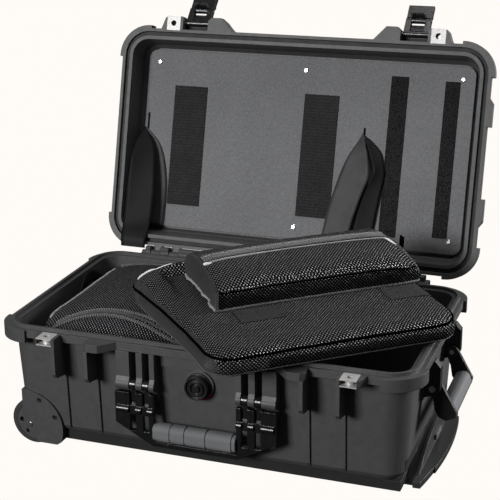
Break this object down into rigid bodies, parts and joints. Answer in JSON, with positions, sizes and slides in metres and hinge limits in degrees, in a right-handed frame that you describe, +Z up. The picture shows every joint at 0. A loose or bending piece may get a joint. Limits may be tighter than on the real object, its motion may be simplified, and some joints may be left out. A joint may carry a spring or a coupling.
{
  "type": "hard case",
  "caption": "Wheeled moulded hard case with a hinged lid, throw latches, fold-down handles, a pull-out trolley handle, padded organizer, laptop sleeve and accessory pouch.",
  "frame": {"origin": "on the ground, under the middle of the base's floor", "axes": "+X along the front to the end with the trolley handle, +Y to the back where the lid is hinged, +Z up"},
  "size_m": [0.5641, 0.5477, 0.5167],
  "materials": {
    "case": "fine moulded texture",
    "dark_plastic": "fine moulded texture",
    "panel": "fine grain",
    "grip": "soft overmoulded rubber",
    "button": "smooth",
    "stainless": "brushed stainless steel",
    "steel": "plain steel",
    "tube": "anodised",
    "bright_screws": "plated",
    "seal": "soft foam rubber",
    "tyre": "polyurethane",
    "hub": "moulded",
    "red_ring": "smooth",
    "fabric": "spacer mesh",
    "webbing": "woven webbing",
    "hook_and_loop": "touch fastener"
  },
  "bodies": {
    "base": {"base_shell": "case", "base_padlock_inserts": "stainless", "hinge_pins": "steel", "front_handle_pins": "steel", "end_handle_brackets": "dark_plastic", "end_handle_pins": "steel", "trolley_outer_tubes": "tube", "wheel_housing_front": "case", "wheel_housing_rear": "case", "housing_screws": "steel", "axle_front": "steel", "axle_rear": "steel", "valve_body": "dark_plastic", "valve_nut": "dark_plastic", "valve_ring": "red_ring", "organizer_bag": "fabric", "organizer_loop": "webbing"},
    "lid": {"lid_shell": "case", "lid_seal": "seal", "lid_panel": "panel", "panel_screws": "bright_screws", "loop_patch_left": "hook_and_loop", "loop_patch_middle": "hook_and_loop", "hook_strip_inner": "hook_and_loop", "hook_strip_outer": "hook_and_loop", "strap_left": "webbing", "strap_right": "webbing", "lid_padlock_inserts": "stainless", "latch_pins": "steel"},
    "latch_left": {"latch_left_link": "dark_plastic", "latch_left_rivet": "steel"},
    "latch_left_arm": {"latch_left_lever": "dark_plastic"},
    "latch_right": {"latch_right_link": "dark_plastic", "latch_right_rivet": "steel"},
    "latch_right_arm": {"latch_right_lever": "dark_plastic"},
    "front_handle": {"front_handle_frame": "dark_plastic", "front_handle_grip": "grip"},
    "end_handle": {"end_handle_frame": "dark_plastic", "end_handle_grip": "grip"},
    "trolley": {"trolley_inner_tubes": "tube", "trolley_grip": "dark_plastic"},
    "trolley_release": {"trolley_button": "button"},
    "wheel_front": {"wheel_front_tyre": "tyre", "wheel_front_hub": "hub", "wheel_front_bearings": "steel"},
    "wheel_rear": {"wheel_rear_tyre": "tyre", "wheel_rear_hub": "hub", "wheel_rear_bearings": "steel"},
    "valve": {"valve_knob": "dark_plastic"},
    "sleeve": {"laptop_sleeve": "fabric", "sleeve_patches": "hook_and_loop"},
    "pouch": {"accessory_pouch": "fabric", "pouch_puller": "steel"}
  },
  "joints": [
    {"name": "lid_hinge", "type": "hinge", "parent": "base", "child": "lid", "pos_m": [0, 0.1683, 0.1646], "axis": [1, 0, 0], "range_deg": [0, 105.3]},
    {"name": "latch_left_swing", "type": "hinge", "parent": "lid", "child": "latch_left", "pos_m": [-0.158, 0.27233, 0.48272], "axis": [1, 0, 0], "range_deg": [0, 116]},
    {"name": "latch_left_lift", "type": "hinge", "parent": "latch_left", "child": "latch_left_arm", "pos_m": [-0.158, 0.2876, 0.49859], "axis": [-1, 0, 0], "range_deg": [0, 60]},
    {"name": "latch_right_swing", "type": "hinge", "parent": "lid", "child": "latch_right", "pos_m": [0.158, 0.27233, 0.48272], "axis": [1, 0, 0], "range_deg": [0, 116]},
    {"name": "latch_right_lift", "type": "hinge", "parent": "latch_right", "child": "latch_right_arm", "pos_m": [0.158, 0.2876, 0.49859], "axis": [-1, 0, 0], "range_deg": [0, 60]},
    {"name": "front_handle_hinge", "type": "hinge", "parent": "base", "child": "front_handle", "pos_m": [0, -0.157, 0.117], "axis": [-1, 0, 0], "range_deg": [0, 95]},
    {"name": "end_handle_hinge", "type": "hinge", "parent": "base", "child": "end_handle", "pos_m": [0.266, 0, 0.122], "axis": [0, -1, 0], "range_deg": [-23.5, 63]},
    {"name": "trolley_slide", "type": "slide", "parent": "base", "child": "trolley", "axis": [1, 0, 0], "range_m": [0, 0.38]},
    {"name": "trolley_release_press", "type": "slide", "parent": "trolley", "child": "trolley_release", "axis": [-1, 0, 0], "range_m": [0, 0.002], "stiffness_N_per_m": 400},
    {"name": "wheel_front_spin", "type": "hinge", "parent": "base", "child": "wheel_front", "pos_m": [-0.236, -0.118, 0.0307], "axis": [0, 1, 0], "continuous": true},
    {"name": "wheel_rear_spin", "type": "hinge", "parent": "base", "child": "wheel_rear", "pos_m": [-0.236, 0.118, 0.0307], "axis": [0, 1, 0], "continuous": true},
    {"name": "valve_turn", "type": "hinge", "parent": "base", "child": "valve", "pos_m": [0, -0.1525, 0.122], "axis": [0, -1, 0], "range_deg": [0, 180]},
    {"name": "sleeve_slide", "type": "slide", "parent": "base", "child": "sleeve", "axis": [0, -1, 0], "range_m": [0, 0.5005]},
    {"name": "pouch_lift", "type": "slide", "parent": "sleeve", "child": "pouch", "axis": [0, 0, 1], "range_m": [0, 0.15]}
  ],
  "couplings": [
    {"joint": "sleeve_slide", "follows": "lid_hinge", "m_per_rad": 0.27206}
  ]
}
